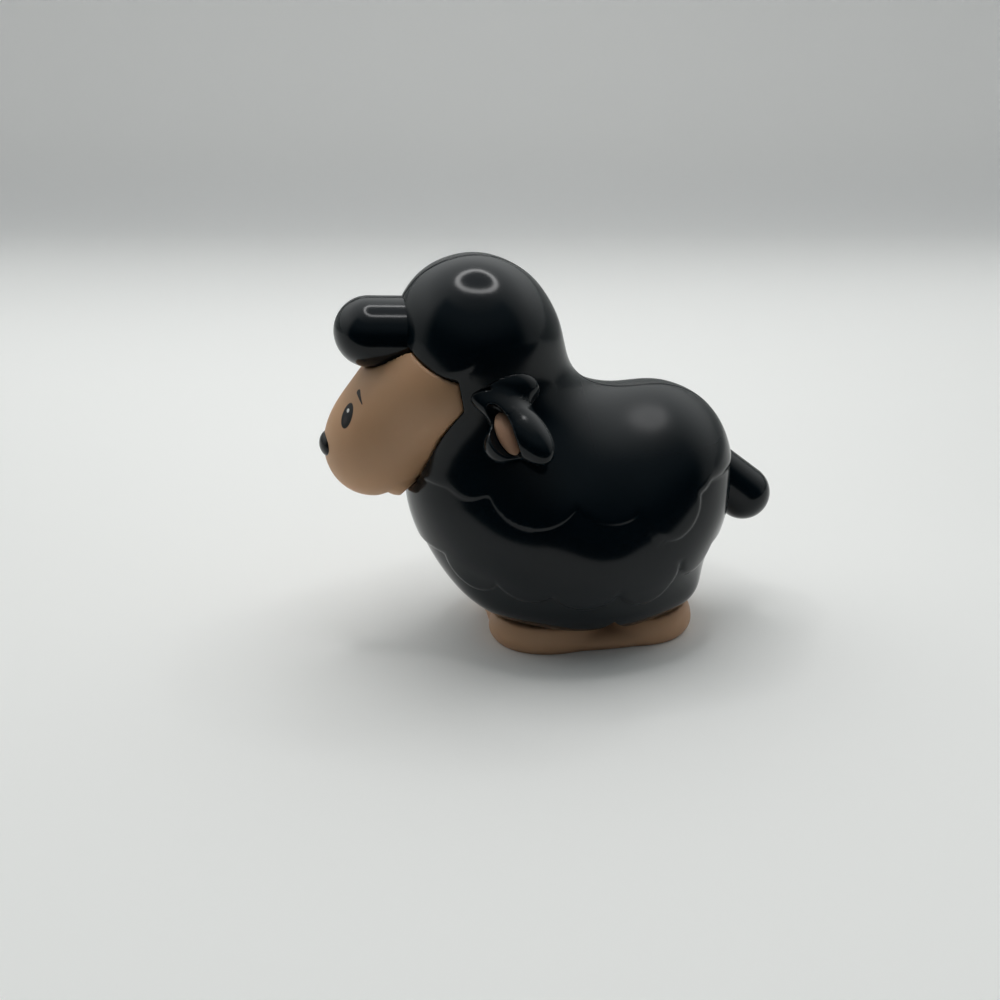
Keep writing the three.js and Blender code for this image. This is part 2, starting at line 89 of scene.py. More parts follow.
def round_cone(start, end, radius_start, radius_end):
    run = end - start

    def field(points):
        share = np.clip((points - start) @ run / (run @ run), 0, 1)
        radius = radius_start + (radius_end - radius_start) * share
        return length(points - start - share[..., None] * run) - radius
    return field


def soft_puck(centre, halves, squareness):
    def field(points):
        near = np.abs(points - centre) / halves
        plan = (near[..., 0] ** squareness + near[..., 1] ** squareness) ** (1 / squareness)
        return (np.hypot(plan, near[..., 2]) - 1) * halves[2]
    return field


def smooth_min(a, b, reach):
    closeness = np.maximum(reach - np.abs(a - b), 0) / reach
    return np.minimum(a, b) - closeness ** 2 * reach / 4


def blend(first, second, reach):
    return lambda points: smooth_min(first(points), second(points), reach)


def smooth_step(value, low, high):
    share = np.clip((value - low) / (high - low), 0, 1)
    return share * share * (3 - 2 * share)


# %% [markdown]
# ## Pulling a mesh onto a form
# A ball, or any mesh with a start point and a direction for each vertex, is pulled out until each vertex
# lies on the field's surface. Stepping by the distance itself finds the first surface along each ray and
# never jumps over it. A mesh that is already close is settled instead: each vertex slides down the
# field's slope.

# %% March along rays, settle on a field, and read a mesh
march_steps = 36
march_caution = 0.85
settle_steps = 4
slope_step = 0.01
least_steepness = 0.2


def march(field, starts, directions):
    reach = np.zeros(len(starts))
    for _ in range(march_steps):
        reach -= march_caution * field(starts + reach[:, None] * directions)
    return starts + reach[:, None] * directions


def slope(field, points):
    return np.stack([field(points + step) - field(points - step) for step in slope_step * np.eye(3)],
                    axis=-1) / (2 * slope_step)


def settle(field, points):
    for _ in range(settle_steps):
        rise = slope(field, points)
        steepness = np.maximum((rise ** 2).sum(-1), least_steepness)
        points = points - (field(points) / steepness)[:, None] * rise
    return points


def places(bm):
    return np.array([vertex.co for vertex in bm.verts])


def move_to(bm, points):
    for vertex, point in zip(bm.verts, points):
        vertex.co = point


def face_outward(bm):
    bmesh.ops.recalc_face_normals(bm, faces=bm.faces)
    if bm.calc_volume(signed=True) < 0:
        bmesh.ops.reverse_faces(bm, faces=bm.faces)


def ball_on(field, start, end, segments, rings):
    """A ball stretched along a line from start to end and pulled onto the field"""
    bm = bmesh.new()
    bmesh.ops.create_uvsphere(bm, u_segments=segments, v_segments=rings, radius=1)
    ball = places(bm)
    share = np.arccos(np.clip(ball[:, 2], -1, 1)) / np.pi
    forward = unit(end - start)
    across = at(0, 1, 0)
    upward = unit(np.cross(across, forward))
    starts = start + share[:, None] * (end - start)
    out = unit(ball[:, :1] * upward + ball[:, 1:2] * across - ball[:, 2:] * forward)
    move_to(bm, march(field, starts, out))
    face_outward(bm)
    return bm


# %% Turn a finished bmesh into a piece of the toy
def to_object(name, bm):
    mesh = bpy.data.meshes.new(name)
    bm.to_mesh(mesh)
    bm.free()
    made = bpy.data.objects.new(name, mesh)
    bpy.context.scene.collection.objects.link(made)
    return made


def finished_object(name, bm, material):
    """A smooth object in metres, with its material, from a bmesh in millimetres"""
    bmesh.ops.scale(bm, vec=(mm, mm, mm), verts=bm.verts)
    made = to_object(name, bm)
    made.data.shade_smooth()
    made.data.materials.append(material)
    return made


def make_piece(bm, name, material, node):
    """The piece that shows one node of the measured model"""
    piece = finished_object(name, bm, material)
    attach(piece, "root")
    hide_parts(node)
    print(name, "has", len(piece.data.polygons), "faces")


def mirror_copy(bm):
    """The same piece for the sheep's other side"""
    other = bm.copy()
    bmesh.ops.scale(other, vec=(1, -1, 1), verts=other.verts)
    bmesh.ops.reverse_faces(other, faces=other.faces)
    return other


# %% [markdown]
# ## Materials
# Black wool, tan face and tan feet are each one plastic, so a finish is a few noise patterns that tint,
# roughen and ripple it by very little. The patterns read the place on the toy in metres, so a pattern's
# scale is one over a real length.

# %% One function adds a shader node
def srgb(code):
    """A hex colour as linear red, green, blue and one"""
    parts = [int(code[i:i + 2], 16) / 255 for i in (1, 3, 5)]
    return tuple(((c + 0.055) / 1.055) ** 2.4 if c > 0.04045 else c / 12.92 for c in parts) + (1.0,)


def add_node(tree, kind, *values, **named):
    """Adds a shader node, its kind given without the word ShaderNode.

    Values fill its inputs in order. A name in small letters is a setting of the node, a name with a
    capital is an input, and _6 is input number 6. A node given as a value stands for its first output.
    """
    node = tree.nodes.new("ShaderNode" + kind)
    inputs = list(enumerate(values))
    for name, value in named.items():
        if name[0].islower():
            setattr(node, name, value)
        else:
            inputs.append((int(name[1:]) if name[0] == "_" else name.replace("_", " "), value))
    for key, value in inputs:
        if isinstance(value, bpy.types.Node):
            value = value.outputs[0]
        if isinstance(value, bpy.types.NodeSocket):
            tree.links.new(value, node.inputs[key])
        else:
            node.inputs[key].default_value = tuple(value) if isinstance(value, np.ndarray) else value
    return node


def new_material(name):
    """An empty material, its node tree, and the place on the piece that its patterns read"""
    material = bpy.data.materials.new(name)
    material.use_nodes = True
    tree = material.node_tree
    tree.nodes.clear()
    return material, tree, add_node(tree, "TexCoord").outputs["Object"]


def finish_material(tree, shader):
    add_node(tree, "OutputMaterial", Surface=shader)


# %% [markdown]
# ## Glossy black plastic
# The wool is ABS with a glossy finish from a polished mould: near black, so the eye reads only its mirror
# image. That image is clear but slightly soft, because the plastic's flow leaves ripples some 6 mm long,
# and handling leaves a haze in patches. Hands hold the toy by its back, which is the haziest. A clear
# coat over a rougher black would also do, but one glossy layer is what ABS is.

# %% Glossy moulded ABS for the wool, and semi-gloss for the nose
# The specular level is about half of plastic's own 0.5, because the photograph's blacks are darker than a
# plain level of light makes them. Real ripples are only microns deep. They are drawn deeper, or none
# would show.
ripple_length, ripple_depth = 6.0 * mm, 0.4 * mm
haze_length = 9.0 * mm
haze_below, haze_above = 0.02, 0.03
speck_length, speck_depth = 0.35 * mm, 0.02 * mm
back_haze = 0.16
back_starts, back_ends = -2 * mm, 6 * mm
back_low, back_high = 29 * mm, 35 * mm
mirror_level = 0.26


def glossy_black(name, colour, paler, roughness):
    material, tree, where = new_material(name)
    ripple = add_node(tree, "TexNoise", Vector=where, Scale=1 / ripple_length, Detail=2.0)
    haze = add_node(tree, "TexNoise", Vector=where, Scale=1 / haze_length, Detail=4.0)
    speck = add_node(tree, "TexNoise", Vector=where, Scale=1 / speck_length, Detail=1.0)
    parts = add_node(tree, "SeparateXYZ", where)
    behind = add_node(tree, "MapRange", parts.outputs["X"], back_starts, back_ends,
                      interpolation_type="SMOOTHSTEP")
    above = add_node(tree, "MapRange", parts.outputs["Z"], back_low, back_high,
                     interpolation_type="SMOOTHSTEP")
    handled = add_node(tree, "Math", behind, above, operation="MULTIPLY")
    patchy = add_node(tree, "MapRange", haze, To_Min=roughness - haze_below, To_Max=roughness + haze_above)
    rough = add_node(tree, "Math", handled, back_haze, patchy, operation="MULTIPLY_ADD")
    tone = add_node(tree, "Mix", haze, _6=srgb(colour), _7=srgb(paler), data_type="RGBA").outputs[2]
    wave = add_node(tree, "Bump", Height=ripple, Strength=0.05, Distance=ripple_depth)
    grain = add_node(tree, "Bump", Height=speck, Strength=0.02, Distance=speck_depth, Normal=wave)
    shader = add_node(tree, "BsdfPrincipled", Base_Color=tone, Roughness=rough, Normal=grain, IOR=1.5,
                      Specular_IOR_Level=mirror_level)
    finish_material(tree, shader)
    return material


wool_black = glossy_black("Glossy black ABS, polished mould", "#040c11", "#081319", 0.14)
nose_black = glossy_black("Semi-gloss black ABS button", "#0c0e10", "#111315", 0.25)
print("Materials so far:", [material.name for material in bpy.data.materials])

# %% [markdown]
# ## The wool's form
# Belly, chest, rump, neck and head are ovals melted into each other, and a soft squarish roll of wool
# runs round the bottom like a skirt. These are the sizes of the measured model, so the new skin lies on
# it.

# %% Belly, chest, rump, neck, head and skirt
belly_centre = at(5.5, 0, 17.4)
belly_halves = at(21.0, 20.5, 18.1)
head_centre = at(-12.3, 0, 48.8)
neck_radius = 8.4
belly = oval(belly_centre, belly_halves)
chest = oval(centre=at(-0.9, 0, 22.6), halves=at(9.7, 15.0, 12.8))
rump = oval(centre=at(18.3, 0, 28.7), halves=at(8.6, 12.1, 9.5))
neck = round_cone(at(-12.0, 0, 26.3), head_centre, neck_radius, neck_radius)
head = oval(head_centre, halves=at(10.1, 11.7, 10.7))
skirt = soft_puck(centre=at(6.4, 0, 7.9), halves=at(17.1, 15.2, 5.5), squareness=3)
trunk = blend(blend(belly, chest, reach=13.3), rump, reach=13.3)
body = blend(trunk, skirt, reach=3.0)
plain_wool = blend(blend(body, neck, reach=20.0), head, reach=10.8)
print("The belly is", 2 * belly_halves[0], "mm long and", 2 * belly_halves[1], "mm wide")

# %% [markdown]
# ## Tiers of wool
# The mould shows the wool as soft overlapping lobes: one tier over the back, one round the flanks, and a
# cap on the head. They could be sculpted by hand, but a lobe that is a ball set on the surface keeps its
# size in view. Inside any ball of a tier the wool stands proud by about half a millimetre, with a rounded
# shoulder and a sharp crease under it, which is what catches light. Over all of it the modeller's thumb
# left very shallow swells, some eleven millimetres long.

# %% Lobes, raised tiers and swells
tier_rise = 0.45
relief = 2 * tier_rise
tier_shoulder = 1.1
crease_width = 0.35
lobe_blend = 0.6


def lobes_on_belly(*rows):
    """Lobes from shares along, out and up from the belly's middle, and a radius in its half width"""
    return [(belly_centre + at(along, -out, up) * belly_halves, size * belly_halves[1])
            for along, out, up, size in rows]


def tier(points, tier_lobes, level):
    """How far a tier raises the wool at some points"""
    folded = points * at(1, -1, 1)
    folded[:, 1] = -np.abs(points[:, 1])
    outside = level - folded[:, 2]
    for centre, radius in tier_lobes:
        outside = smooth_min(outside, length(folded - centre) - radius, lobe_blend)
    shoulder = np.clip(-outside / tier_shoulder, 0, 1)
    profile = np.sqrt(1 - (1 - shoulder) ** 2)
    return tier_rise * profile * smooth_step(-outside, -crease_width, crease_width)


cape_level = 28.6
cape_front, cape_rear = 9.0, 19.0
cape_front_share = 0.5
cape_lobes = lobes_on_belly((-0.98, 0.62, 0.83, 0.24), (-0.53, 0.83, 0.79, 0.37), (0.02, 0.82, 0.78, 0.36),
                            (0.47, 0.85, 0.50, 0.27), (0.64, 0.70, 0.76, 0.21))
flank_level = 16.7
flank_lobes = lobes_on_belly((-1.0, 0.65, -0.05, 0.26), (-0.64, 0.92, -0.02, 0.29),
                             (-0.19, 1.02, -0.04, 0.31), (0.31, 0.95, -0.08, 0.28), (0.74, 0.72, 0.03, 0.23))
cap_lobes = [(at(-17.4, -8.8, 52.4), 7.2)]
above_the_toy = 90.0
crown_low, crown_high = 44.5, 52.0
swell_depth = 0.05
swell_waves = [(0.50, 0, 0.30, 0.4), (-0.33, 0, 0.42, 1.7), (0, 0.45, 0.38, 0)]


def swells(points):
    """A sum of waves, each from its radians per millimetre along, out and up, and its phase"""
    x, y, z = points[:, 0], np.abs(points[:, 1]), points[:, 2]
    return sum(np.sin(along * x + out * y + up * z + phase) for along, out, up, phase in swell_waves)


def tiered_wool(points):
    """The wool with its relief: the cape is fainter toward the chest, and the crown is raised all over"""
    rearward = smooth_step(points[:, 0], cape_front, cape_rear)
    cape = tier(points, cape_lobes, cape_level) * (cape_front_share + (1 - cape_front_share) * rearward)
    flank = tier(points, flank_lobes, flank_level)
    crown = tier_rise * smooth_step(points[:, 2], crown_low, crown_high)
    cap = np.maximum(tier(points, cap_lobes, above_the_toy), crown)
    return plain_wool(points) + relief - (cape + flank + cap) - swell_depth * swells(points)


# %% [markdown]
# ## The parting seam
# The two shells meet in a hairline over the head, back and tail. A real seam has a tiny rounded edge on
# each side. A bevel on so wavy an edge would be fragile, so the form itself dips by a fifth of a
# millimetre there, within little more than a tenth of a millimetre of the middle.

# %% The seam as a dip in any black form
seam_depth = 0.22
seam_width = 0.13
seam_gap = 0.03


def with_seam(field):
    return lambda points: field(points) + seam_depth * np.exp(-(points[:, 1] / seam_width) ** 2)


# %% [markdown]
# ## The tuft
# The wool ends over the forehead in a smooth tuft, like a stretched ball, a little wider than it is high.
# It could be one more oval, but a rounded cone keeps its long flat top. It is a closed form of its own in
# each shell, and it runs in under the shell's edge.

# %% The tuft over the forehead
tuft_tip, tuft_root = at(-28.0, 0, 50.35), at(-20.5, 0, 49.9)
tuft_tip_radius, tuft_root_radius = 5.25, 5.3
tuft_widening = at(1, 0.83, 1)


def tuft(points):
    """A round form looked up at points that are drawn in sideways, which makes it wider"""
    return round_cone(tuft_tip, tuft_root, tuft_tip_radius, tuft_root_radius)(points * tuft_widening)


# %% [markdown]
# ## The face opening
# The wool ends round the face in one moulded edge. It runs straight over the forehead, in a lobe over the
# temple to a corner at the cheek, and down the jaw line to the chin. A cut with a solid would leave a
# ragged edge, so the rim is drawn as a curve, and the shell's mesh starts on it.

# %% The rim of the face opening, as angles round a hub in the head
hub = at(-8.0, 0, 37.45)
opening_rear = -15.5
opening_depth = 7.6
opening_half_width = 12.4
opening_low = 24.7
opening_height = 25.5


def on_rim(depth, width, height):
    """A point of the rim on the left side, from shares of the opening's depth, half width and height"""
    return at(opening_rear - depth * opening_depth, -width * opening_half_width,
              opening_low + height * opening_height)


def bend(start, middle, end, count):
    """Points on a quadratic curve"""
    share = np.linspace(0, 1, count)[:, None]
    return (1 - share) ** 2 * start + 2 * share * (1 - share) * middle + share ** 2 * end


def through(points, count):
    """Points on a smooth curve through some others, its slope at each one taken from its neighbours"""
    padded = np.concatenate([2 * points[:1] - points[1:2], points, 2 * points[-1:] - points[-2:-1]])
    share = np.linspace(0, 1, count, endpoint=False)[:, None]
    parts = []
    for before, start, end, after in zip(padded, padded[1:], padded[2:], padded[3:]):
        parts.append(0.5 * (2 * start + (end - before) * share
                            + (2 * before - 5 * start + 4 * end - after) * share ** 2
                            + (3 * start - before - 3 * end + after) * share ** 3))
    return np.concatenate(parts + [points[-1:]])


straight_points = 12
lobe_points = 30
rim_top = on_rim(0.96, 0, 1)
rim_tuft = on_rim(0.93, 0.56, 0.965)
rim_lobe = on_rim(0.57, 0.9, 0.84)
rim_cheek_top = on_rim(0.12, 1, 0.835)
rim_cheek_low = on_rim(0, 0.96, 0.647)
rim_jaw = np.stack([rim_cheek_low, on_rim(0.41, 0.71, 0.435), on_rim(0.68, 0.54, 0.247),
                    on_rim(0.91, 0.33, 0.082), on_rim(1, 0, 0)])
rim_points = np.concatenate([
    np.linspace(rim_top, rim_tuft, straight_points),
    bend(rim_tuft, rim_lobe, rim_cheek_top, lobe_points)[1:],
    np.linspace(rim_cheek_top, rim_cheek_low, straight_points)[1:],
    through(rim_jaw, straight_points)[1:],
])


def round_hub(points):
    """Turn about the hub's forward axis, from the top, and opening angle away from it"""
    from_hub = points - hub
    side = np.hypot(from_hub[:, 1], from_hub[:, 2])
    return np.arctan2(np.abs(from_hub[:, 1]), from_hub[:, 2]), np.arctan2(side, -from_hub[:, 0])


rim_turn, rim_angle = round_hub(rim_points)


def toward_rim(turn):
    """Directions from the hub to the rim on the left side"""
    angle = np.interp(turn, rim_turn, rim_angle)
    return np.stack([-np.cos(angle), -np.sin(angle) * np.sin(turn), np.sin(angle) * np.cos(turn)], -1)


def beyond_rim(points):
    """How far a point lies outside the opening's cone, in millimetres"""
    turn, angle = round_hub(points)
    return (angle - np.interp(turn, rim_turn, rim_angle)) * length(points - hub)


print("The opening's rim runs through", len(rim_points), "points")

# %% [markdown]
# ## One wool half shell
# A fine grid is wrapped over the sheep: its near edge lies on the face opening's rim, its far edge on the
# skirt's lower edge, and its two sides on the seam. A remesh would be quicker to write, but it would blur
# both edges. Each column of the grid is a fan of rays that leaves the rim and meets the skirt's edge
# nearly squarely, while its start slides from the head to the belly. So the mesh lines run along both
# edges, and the rims are clean. The relief is laid on along the same rays, which keeps each vertex on its
# line. A coarser grid, with one line for every six, makes the inside, and a band of faces joins the two.

# %% Where the half shell's columns start and end
columns = 198
rows = 330
coarser = 6
seam_steps = np.array([0.0, 0.05, 0.11, 0.18, 0.28])
seam_columns = len(seam_steps)
free_columns = columns + 1 - 2 * seam_columns
rim_samples = 800
rim_end_space = 0.5
skirt_end_turn = 0.03
skirt_crowding = 1.35
lowest_tilt, highest_tilt = -1.2, 0.6
tilt_halvings = 18
belly_hub = at(6.0, 0, 10.0)
skirt_edge = 4.8
skirt_end_rise = 2.6
skirt_end_reach = 8.0
skirt_notch_rise = 2.4
skirt_notch_half_width = 3.4
foot_middle = 7.0
belly_front = belly_centre[0] - belly_halves[0]
belly_rear = belly_centre[0] + belly_halves[0]


def skirt_height(station):
    """The scalloped lower edge of the skirt at a station"""
    from_notch = np.abs(station - foot_middle) / skirt_notch_half_width
    notch = skirt_notch_rise * np.maximum(1 - from_notch, 0) ** 2
    to_end = np.minimum(station - belly_front, belly_rear - station)
    return skirt_edge + notch + skirt_end_rise * np.maximum(1 - to_end / skirt_end_reach, 0) ** 2


def with_seam_columns(free, first, last):
    """Adds a few equal columns at both ends, for the fine strips beside the seam"""
    return np.concatenate([np.repeat(first, seam_columns, axis=0), free,
                           np.repeat(last, seam_columns, axis=0)])


def column_starts():
    """Directions from the hub to evenly spaced points of the rim, from the top to the chin"""
    turn = np.linspace(0, np.pi, rim_samples)
    rim = march(tiered_wool, np.tile(hub, (rim_samples, 1)), toward_rim(turn))
    run = np.concatenate([[0], np.cumsum(length(np.diff(rim, axis=0)))])
    turns = np.interp(np.linspace(rim_end_space, run[-1] - rim_end_space, free_columns), run, turn)
    return with_seam_columns(toward_rim(turns), toward_rim(turn[:1]), toward_rim(turn[-1:]))


def column_ends():
    """Directions from the belly's hub to the skirt's edge, from the rear to the front, found by halving"""
    share = np.linspace(0, 1, free_columns) ** skirt_crowding
    turn = np.concatenate([[0], skirt_end_turn + (np.pi - 2 * skirt_end_turn) * share, [np.pi]])
    low, high = np.full(len(turn), lowest_tilt), np.full(len(turn), highest_tilt)
    starts = np.tile(belly_hub, (len(turn), 1))
    for _ in range(tilt_halvings):
        tilt = (low + high) / 2
        out = np.stack([np.cos(tilt) * np.cos(turn), -np.cos(tilt) * np.sin(turn), np.sin(tilt)], -1)
        hit = march(tiered_wool, starts, out)
        above = hit[:, 2] > skirt_height(hit[:, 0])
        high = np.where(above, tilt, high)
        low = np.where(above, low, tilt)
    return with_seam_columns(out[1:-1], out[:1], out[-1:])


no_length = 1e-9


def leaving_rim(first, push):
    """Directions turned by an angle away from the opening, halfway between its axis and its edge's square"""
    away = unit(at(1, 0, 0) - first[:, :1] * first)
    along = np.gradient(first, axis=0)
    square = np.cross(along, first)
    square = square / np.maximum(length(square), no_length)[:, None]
    square = square * np.sign((square * away).sum(-1))[:, None]
    out = unit(away + square)
    return np.cos(push) * first + np.sin(push) * out


def above_skirt(last, push):
    """Directions raised straight up by an angle"""
    level = unit(last * at(1, 1, 0))
    tilt = np.arcsin(last[:, 2:]) + push
    return np.cos(tilt) * level + np.sin(tilt) * at(0, 0, 1)


starts_out, ends_out = column_starts(), column_ends()
third = np.arccos(np.clip((starts_out * ends_out).sum(-1), -1, 1))[:, None] / 3
starts_next, ends_before = leaving_rim(starts_out, third), above_skirt(ends_out, third)
side_steps = np.concatenate([seam_steps, np.zeros(free_columns), seam_steps[::-1]])


def sweep(column, share):
    """The ray of a column at a share of its way, nearly square to the rim and to the skirt's edge"""
    part = share[:, None]
    rest = 1 - part
    out = unit(rest ** 3 * starts_out[column] + 3 * rest ** 2 * part * starts_next[column]
               + 3 * rest * part ** 2 * ends_before[column] + part ** 3 * ends_out[column])
    begin = hub + smooth_step(part, 0, 1) * (belly_hub - hub)
    begin[:, 1] -= side_steps[column]
    return begin, out


# %% Even the rows out along each column, with a fine rolled lip at both edges
lip = 0.45
lip_rows = 5
probe = 260
column_grid, share_grid = np.meshgrid(np.arange(columns + 1), np.linspace(0, 1, probe), indexing="ij")
probe_points = march(plain_wool, *sweep(column_grid.ravel(), share_grid.ravel()))
probe_points = probe_points.reshape(columns + 1, probe, 3)
steps = length(np.diff(probe_points, axis=1))
run = np.concatenate([np.zeros((columns + 1, 1)), np.cumsum(steps, axis=1)], axis=1)
lip_run = lip * (1 - np.cos(np.linspace(0, np.pi / 2, lip_rows + 1)))
row_shares = np.zeros((columns + 1, rows + 1))
row_runs = np.zeros((columns + 1, rows + 1))
for column in range(columns + 1):
    total = run[column, -1]
    middle = np.linspace(lip_run[-1], total - lip_run[-1], rows + 1 - 2 * lip_rows)
    row_runs[column] = np.concatenate([lip_run[:-1], middle, total - lip_run[:-1][::-1]])
    row_shares[column] = np.interp(row_runs[column], run[column], share_grid[column])
row_left = run[:, -1:] - row_runs
print("Columns are", run[:, -1].min().round(1), "to", run[:, -1].max().round(1), "mm long")

# %% Wrap the two grids and join them
shell_wall = 2.0
hollow_depth = shell_wall + relief
least_squareness = 0.4


def wrap(points, inner):
    """Lays grid points, from -1 to 1 both ways, on the wool's outer or inner skin"""
    column = np.rint((points[:, 0] + 1) / 2 * columns).astype(int)
    row = np.rint((points[:, 1] + 1) / 2 * rows).astype(int)
    begin, out = sweep(column, row_shares[column, row])
    if inner:
        wrapped = march(lambda points: plain_wool(points) + hollow_depth, begin, out)
    else:
        edge = np.minimum(row_runs[column, row], row_left[column, row])
        dip = lip - np.sqrt(np.maximum(lip ** 2 - np.maximum(lip - edge, 0) ** 2, 0))
        on_skin = march(plain_wool, begin, out)
        squareness = np.maximum((unit(slope(plain_wool, on_skin)) * out).sum(-1), least_squareness)
        seam_dip = seam_depth * np.exp(-(on_skin[:, 1] / seam_width) ** 2)
        wrapped = on_skin - (tiered_wool(on_skin) / squareness + dip + seam_dip)[:, None] * out
    wrapped[:, 1] -= seam_gap
    return wrapped


def wrapped_grid(bm, detail, inner):
    before = len(bm.verts)
    bmesh.ops.create_grid(bm, x_segments=columns // detail, y_segments=rows // detail, size=1)
    bm.verts.ensure_lookup_table()
    grid = bm.verts[before:]
    points = wrap(np.array([vertex.co for vertex in grid]), inner)
    for vertex, point in zip(grid, points):
        vertex.co = point


def half_shell():
    """The left half shell: a fine outer skin, a coarse inner one, and the band between their edges"""
    bm = bmesh.new()
    wrapped_grid(bm, 1, False)
    wrapped_grid(bm, coarser, True)
    edges = [edge for edge in bm.edges if edge.is_boundary]
    band = bmesh.ops.bridge_loops(bm, edges=edges)
    widest = max(edge.calc_length() for edge in band["edges"])
    print("The band between the skins is at most", round(widest, 1), "mm wide")
    face_outward(bm)
    return bm


cut_tolerance = 1e-5


def half_blob(field, start, end, segments, rings):
    """A ball on a field, cut at the seam and closed there"""
    bm = ball_on(with_seam(field), start, end, segments, rings)
    cut = bmesh.ops.bisect_plane(bm, geom=bm.verts[:] + bm.edges[:] + bm.faces[:], dist=cut_tolerance,
                                 plane_co=(0, -seam_gap, 0), plane_no=(0, 1, 0), clear_outer=True)
    edges = [item for item in cut["geom_cut"] if isinstance(item, bmesh.types.BMEdge)]
    bmesh.ops.holes_fill(bm, edges=edges)
    return bm


def merge_into(bm, other):
    mesh = bpy.data.meshes.new("part")
    other.to_mesh(mesh)
    other.free()
    bm.from_mesh(mesh)
    bpy.data.meshes.remove(mesh)


tail_root, tail_tip = at(27.0, 0, 24.6), at(31.8, 0, 20.4)
tail_root_radius, tail_tip_radius = 4.1, 4.4
tail = round_cone(tail_root, tail_tip, tail_root_radius, tail_tip_radius)

fleece = half_shell()
merge_into(fleece, half_blob(tuft, tuft_root, tuft_tip, segments=96, rings=64))
merge_into(fleece, half_blob(tail, tail_root, tail_tip, segments=80, rings=56))
mirrored = mirror_copy(fleece)
make_piece(fleece, "fleece_left_shell", wool_black, "fleece_left")
make_piece(mirrored, "fleece_right_shell", wool_black, "fleece_right")

# %% [markdown]
# ## The face
# The face is one piece of soft plastic that the two shells grip. A skull and a muzzle are melted
# together, with a small chin parted from the muzzle by a sharp mouth line. Pulling one ball onto the
# joined form gives an even mesh with no seam, which a boolean of three ovals would not. Behind the rim
# the form steps back by a hair, so that it never breaks through the wool.

# %% The face form, kept behind the rim where the shell grips it
skull_centre = at(-17.3, 0, 43.8)
muzzle_centre = at(-28.2, 0, 31.9)
skull = oval(skull_centre, halves=at(9.0, 11.9, 9.0))
muzzle = oval(muzzle_centre, halves=at(7.1, 6.4, 7.5))
under_jaw = oval(centre=at(-23.2, 0, 21.6), halves=at(5.4, 9.5, 5.2))
chin = oval(centre=at(-24.3, 0, 27.7), halves=at(3.4, 5.4, 3.5))
upper_face = blend(skull, muzzle, reach=16.0)
jaw_edge = 0.5
mouth_line = 0.3


def bare_face(points):
    """The muzzle's underside is cut away behind the mouth, and the chin fills the cut"""
    cut_face = -smooth_min(-upper_face(points), under_jaw(points), jaw_edge)
    return smooth_min(cut_face, chin(points), mouth_line)


rim_gap = 0.12
grip_gap = 0.3


def face_field(points):
    hollow = plain_wool(points) + hollow_depth + grip_gap
    held = np.minimum(beyond_rim(points) + rim_gap, hollow)
    return np.maximum(np.maximum(bare_face(points), held), rim_gap - tuft(points))


# %% [markdown]
# ## Printed eyes and brows
# On the real toy the eyes and brows are a thin pad print on the face. The small white dot in the top of each
# eye is no print but a painted highlight. An image would need to be drawn and laid out, so each mark is a
# small
# form instead: a point of the face is inside it or not. Each mark is given once, in millimetres on the left
# side, and the place is folded over the middle, so both sides get the same print.

# %% The marks and the nodes that print them
eye_middle = at(-31.98, -4.40, 38.79)
eye_up = unit(at(1.66, 0.45, 3.38))
eye_across = unit(at(1.18, -1.67, -0.07))
eye_half_height, eye_half_width = 1.95, 1.08
iris_drop = 0.75
iris_half_height, iris_half_width = 0.75, 0.55
# A painted highlight: a white dot over the top of the eye that stands in for light, not part of the print.
painted_highlight_middle = at(-31.79, -4.09, 39.46)
painted_highlight_half_height, painted_highlight_half_width = 0.34, 0.30
brow_head, brow_tip = at(-30.1, -3.75, 42.2), at(-29.75, -5.53, 40.88)
brow_head_radius, brow_tip_radius = 0.40, 0.10


def printed_oval(tree, place, middle, half_height, half_width):
    """Distance from the middle of a mark that lies along the eye, where 1 is its edge"""
    near = add_node(tree, "VectorMath", place, middle, operation="SUBTRACT")
    rise = add_node(tree, "VectorMath", near, eye_up / half_height, operation="DOT_PRODUCT")
    rise = rise.outputs["Value"]
    side = add_node(tree, "VectorMath", near, eye_across / half_width, operation="DOT_PRODUCT")
    side = side.outputs["Value"]
    rise_squared = add_node(tree, "Math", rise, rise, operation="MULTIPLY")
    side_squared = add_node(tree, "Math", side, side, operation="MULTIPLY")
    both = add_node(tree, "Math", rise_squared, side_squared, operation="ADD")
    return add_node(tree, "Math", both, operation="SQRT")


def printed_brow(tree, place):
    """Distance from the edge of a tapered stroke, in millimetres"""
    run = brow_tip - brow_head
    from_head = add_node(tree, "VectorMath", place, brow_head, operation="SUBTRACT")
    share = add_node(tree, "VectorMath", from_head, run / (run @ run), operation="DOT_PRODUCT")
    share = add_node(tree, "Clamp", share.outputs["Value"])
    along = add_node(tree, "VectorMath", run, Scale=share, operation="SCALE")
    off_line = add_node(tree, "VectorMath", from_head, along, operation="SUBTRACT")
    off_line = add_node(tree, "VectorMath", off_line, operation="LENGTH").outputs["Value"]
    radius = add_node(tree, "Math", share, brow_tip_radius - brow_head_radius, brow_head_radius,
                      operation="MULTIPLY_ADD")
    return add_node(tree, "Math", off_line, radius, operation="SUBTRACT")


